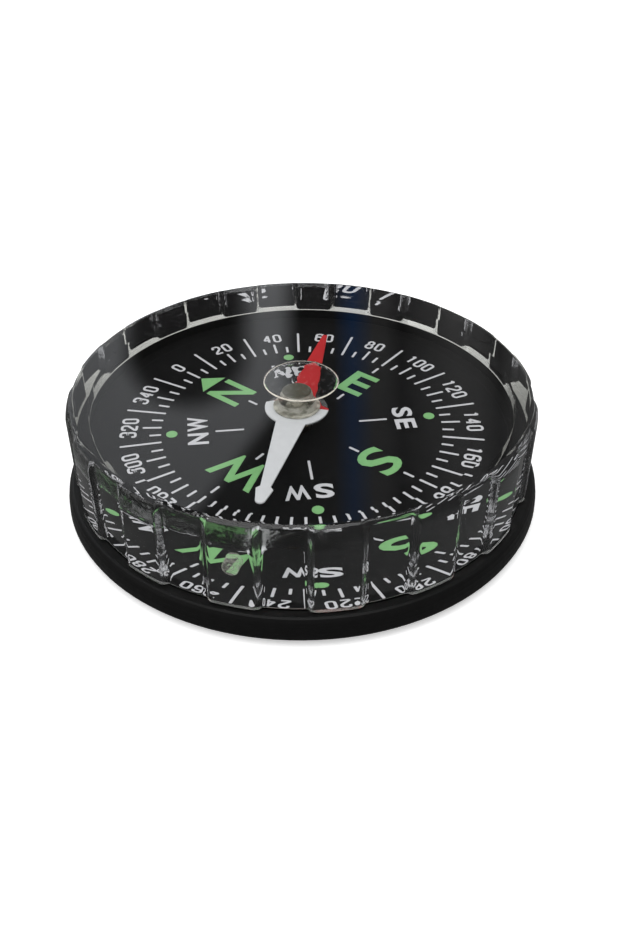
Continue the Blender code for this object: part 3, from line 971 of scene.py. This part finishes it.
room = {"glow": (0.73, 0.75, 0.78), "glowEdge": -0.015, "glowSlant": 0.8, "glowBend": -0.09,
        "glowSoft": 0.016, "shadeSide": -0.122, "shadeRise": -0.136, "shadeWidth": 0.064,
        "shadeHeight": 0.057, "shadeEdge": (0.5, 1.6), "ahead": (0.3, 0.6), "leastAhead": 0.05,
        "rampWidth": 0.25,
        "ramp": [(0.0, (0.03, 0.03, 0.03)), (0.14, (0.03, 0.03, 0.03)), (0.22, (0.018, 0.084, 0.25)),
                 (0.31, (0.12, 0.12, 0.12)), (0.36, (0.11, 0.11, 0.11)), (0.43, (0.03, 0.03, 0.03)),
                 (0.54, (0.12, 0.12, 0.12)), (0.66, (0.22, 0.22, 0.22)), (0.76, (0.22, 0.22, 0.22)),
                 (0.85, (0.1, 0.1, 0.1)), (0.95, (0.3, 0.3, 0.3))]}


def grey(share):
    return (share, share, share)


def makeFloor():
    floor = newPrimitive(bpy.ops.mesh.primitive_plane_add, "floor", size=studio["floorSize"])
    material, graph = newMaterial("paleFloor")
    matte, mirrored, bright = [graph.node("ShaderNodeBsdfDiffuse", None, {"Color": grey(share)})
                               for share in (studio["floor"], studio["floorMirrored"], 1.0)]
    glow = graph.node("ShaderNodeEmission", None, {"Color": grey(1.0), "Strength": studio["floorGlow"]})
    seen = graph.node("ShaderNodeAddShader", None, {0: bright, 1: glow})
    direct = graph.ray("Is Camera Ray").atLeast(graph.ray("Is Transmission Ray"))
    other = graph.mix(graph.ray("Is Glossy Ray"), matte, mirrored)
    graph.output(graph.mix(direct, other, seen))
    floor.data.materials.append(material)


def makeWorld():
    world = bpy.data.worlds.new("world")
    bpy.context.scene.world = world
    world.use_nodes = True
    graph = Graph(world.node_tree)
    direction = graph.node("ShaderNodeTexCoord", output="Generated")
    x, y, z = [graph.axis(direction, index) for index in range(3)]
    lean = math.radians(camera["elevation"])
    ahead = y * math.cos(lean) + z * math.sin(lean)
    depth = ahead.atLeast(room["leastAhead"])
    side = x / depth
    rise = (z * math.cos(lean) - y * math.sin(lean)) / depth
    edge = room["glowEdge"] - room["glowSlant"] * (rise - room["glowBend"]).atLeast(0.0)
    lit = 1.0 - (side - edge).smooth(-room["glowSoft"], room["glowSoft"])
    shadeSide = (side - room["shadeSide"]) / room["shadeWidth"]
    shadeRise = ((rise - room["shadeRise"]) / room["shadeHeight"]).atLeast(0.0)
    unshaded = (shadeSide * shadeSide + shadeRise * shadeRise).smooth(*room["shadeEdge"])
    right = graph.node("ShaderNodeValToRGB", {"stops": room["ramp"]}, {0: side / room["rampWidth"]})
    mirrored = graph.blend(lit * unshaded, right, room["glow"])
    mirrored = graph.blend(ahead.smooth(*room["ahead"]), grey(studio["elsewhere"]), mirrored)
    refracted = graph.blend(z > studio["horizon"], grey(1.0), mirrored)
    color = graph.blend(graph.ray("Is Glossy Ray"), grey(studio["sky"]), mirrored)
    color = graph.blend(graph.ray("Is Transmission Ray"), color, refracted)
    color = graph.blend(graph.ray("Is Camera Ray"), color, grey(1.0))
    graph.output(graph.node("ShaderNodeBackground", None, {"Color": color, "Strength": 1.0}),
                 "ShaderNodeOutputWorld")


def makeLamps():
    for name, (power, side, place) in lamps.items():
        data = bpy.data.lights.new(name, "AREA")
        data.energy = power
        data.size = side
        item = bpy.data.objects.new(name, data)
        bpy.context.scene.collection.objects.link(item)
        item.location = place
        item.rotation_euler = (-Vector(place)).to_track_quat("-Z", "Y").to_euler()


makeFloor()
makeWorld()
makeLamps()
print("studio lit")

bpy.context.scene.view_settings.view_transform = "Standard"
